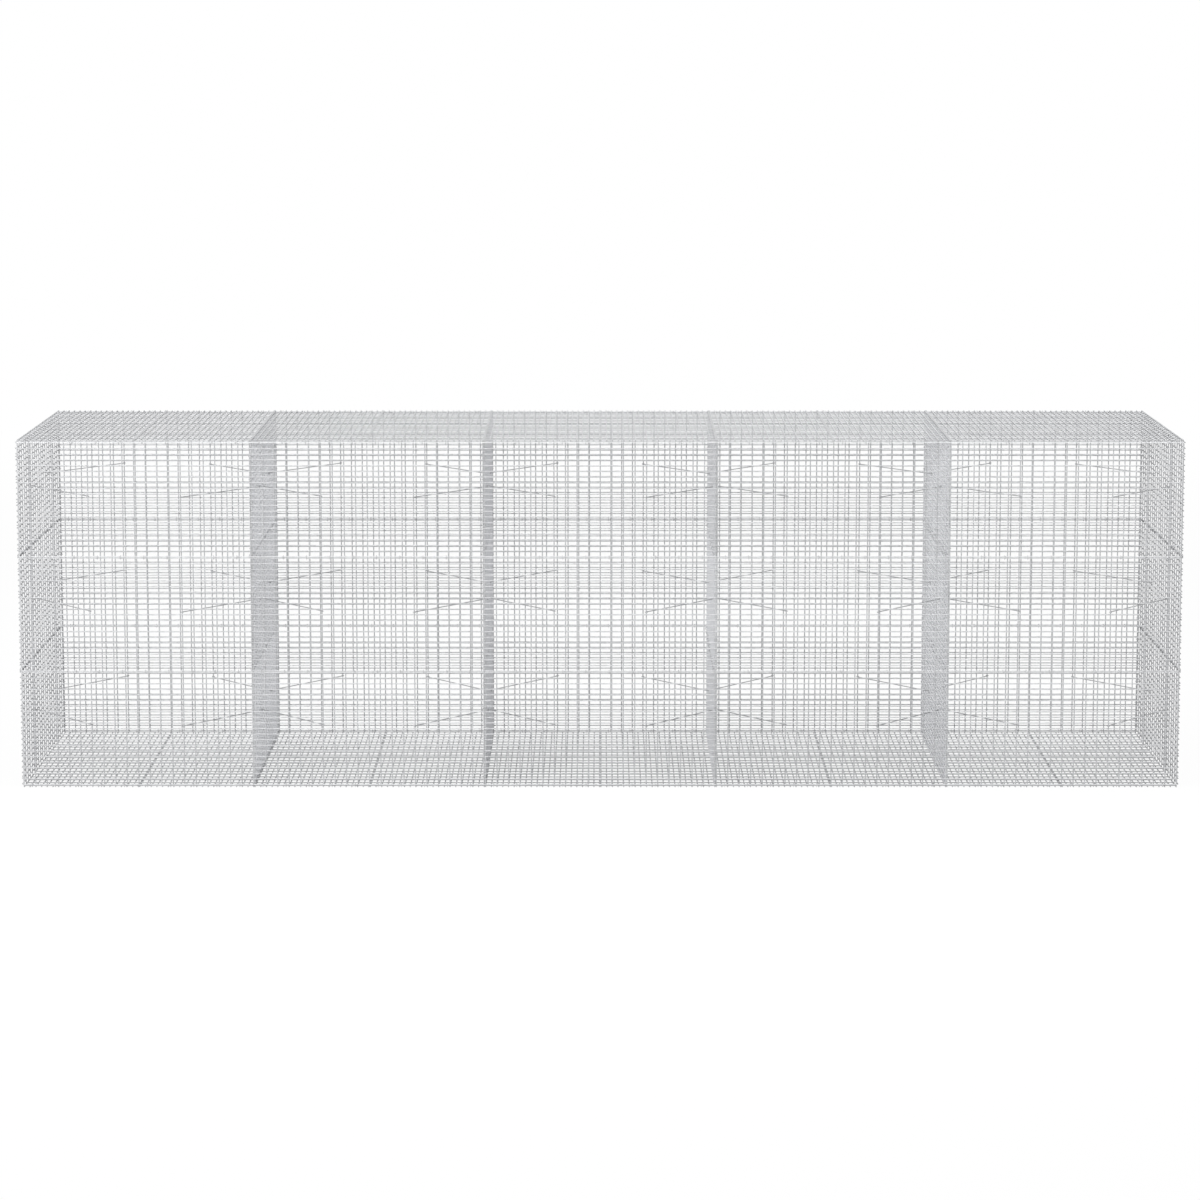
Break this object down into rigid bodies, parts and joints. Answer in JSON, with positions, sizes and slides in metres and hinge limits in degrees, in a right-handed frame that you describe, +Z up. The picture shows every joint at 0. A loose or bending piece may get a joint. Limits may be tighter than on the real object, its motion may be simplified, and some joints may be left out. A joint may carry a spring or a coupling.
{
  "type": "unfilled gabion wall",
  "caption": "Empty gabion wall of galvanised welded wire mesh: box bays in stacked courses with lid, floor, ends and cross partitions, joined by wire rings and corner ties.",
  "frame": {"origin": "middle of the footprint, at the level that the floor wires rest on", "axes": "+X along the wall to the right seen from the front, +Y from front to back, +Z up"},
  "size_m": [5.0284, 1.0284, 1.5204],
  "materials": {
    "galvanised_wire": "satin",
    "ring_zinc": "satin"
  },
  "bodies": {
    "root": {"front_frames_bay_1": "galvanised_wire", "front_frames_bay_2": "galvanised_wire", "front_frames_bay_3": "galvanised_wire", "front_frames_bay_4": "galvanised_wire", "front_frames_bay_5": "galvanised_wire", "back_frames_bay_1": "galvanised_wire", "back_frames_bay_2": "galvanised_wire", "back_frames_bay_3": "galvanised_wire", "back_frames_bay_4": "galvanised_wire", "back_frames_bay_5": "galvanised_wire", "lid_frames_bay_1": "galvanised_wire", "lid_frames_bay_2": "galvanised_wire", "lid_frames_bay_3": "galvanised_wire", "lid_frames_bay_4": "galvanised_wire", "lid_frames_bay_5": "galvanised_wire", "floor_frames_bay_1": "galvanised_wire", "floor_frames_bay_2": "galvanised_wire", "floor_frames_bay_3": "galvanised_wire", "floor_frames_bay_4": "galvanised_wire", "floor_frames_bay_5": "galvanised_wire", "left_end_frames": "galvanised_wire", "right_end_frames": "galvanised_wire", "partition_1_frames": "galvanised_wire", "partition_2_frames": "galvanised_wire", "partition_3_frames": "galvanised_wire", "partition_4_frames": "galvanised_wire", "front_mesh": "galvanised_wire", "back_mesh": "galvanised_wire", "lid_mesh": "galvanised_wire", "floor_mesh": "galvanised_wire", "end_mesh": "galvanised_wire", "partition_mesh": "galvanised_wire", "corner_ties_bay_1": "ring_zinc", "corner_ties_bay_2": "ring_zinc", "corner_ties_bay_3": "ring_zinc", "corner_ties_bay_4": "ring_zinc", "corner_ties_bay_5": "ring_zinc", "front_rings": "ring_zinc", "back_rings": "ring_zinc", "end_rings": "ring_zinc", "partition_rings": "ring_zinc", "upright_rings": "ring_zinc", "lid_rings": "ring_zinc"}
  },
  "joints": []
}
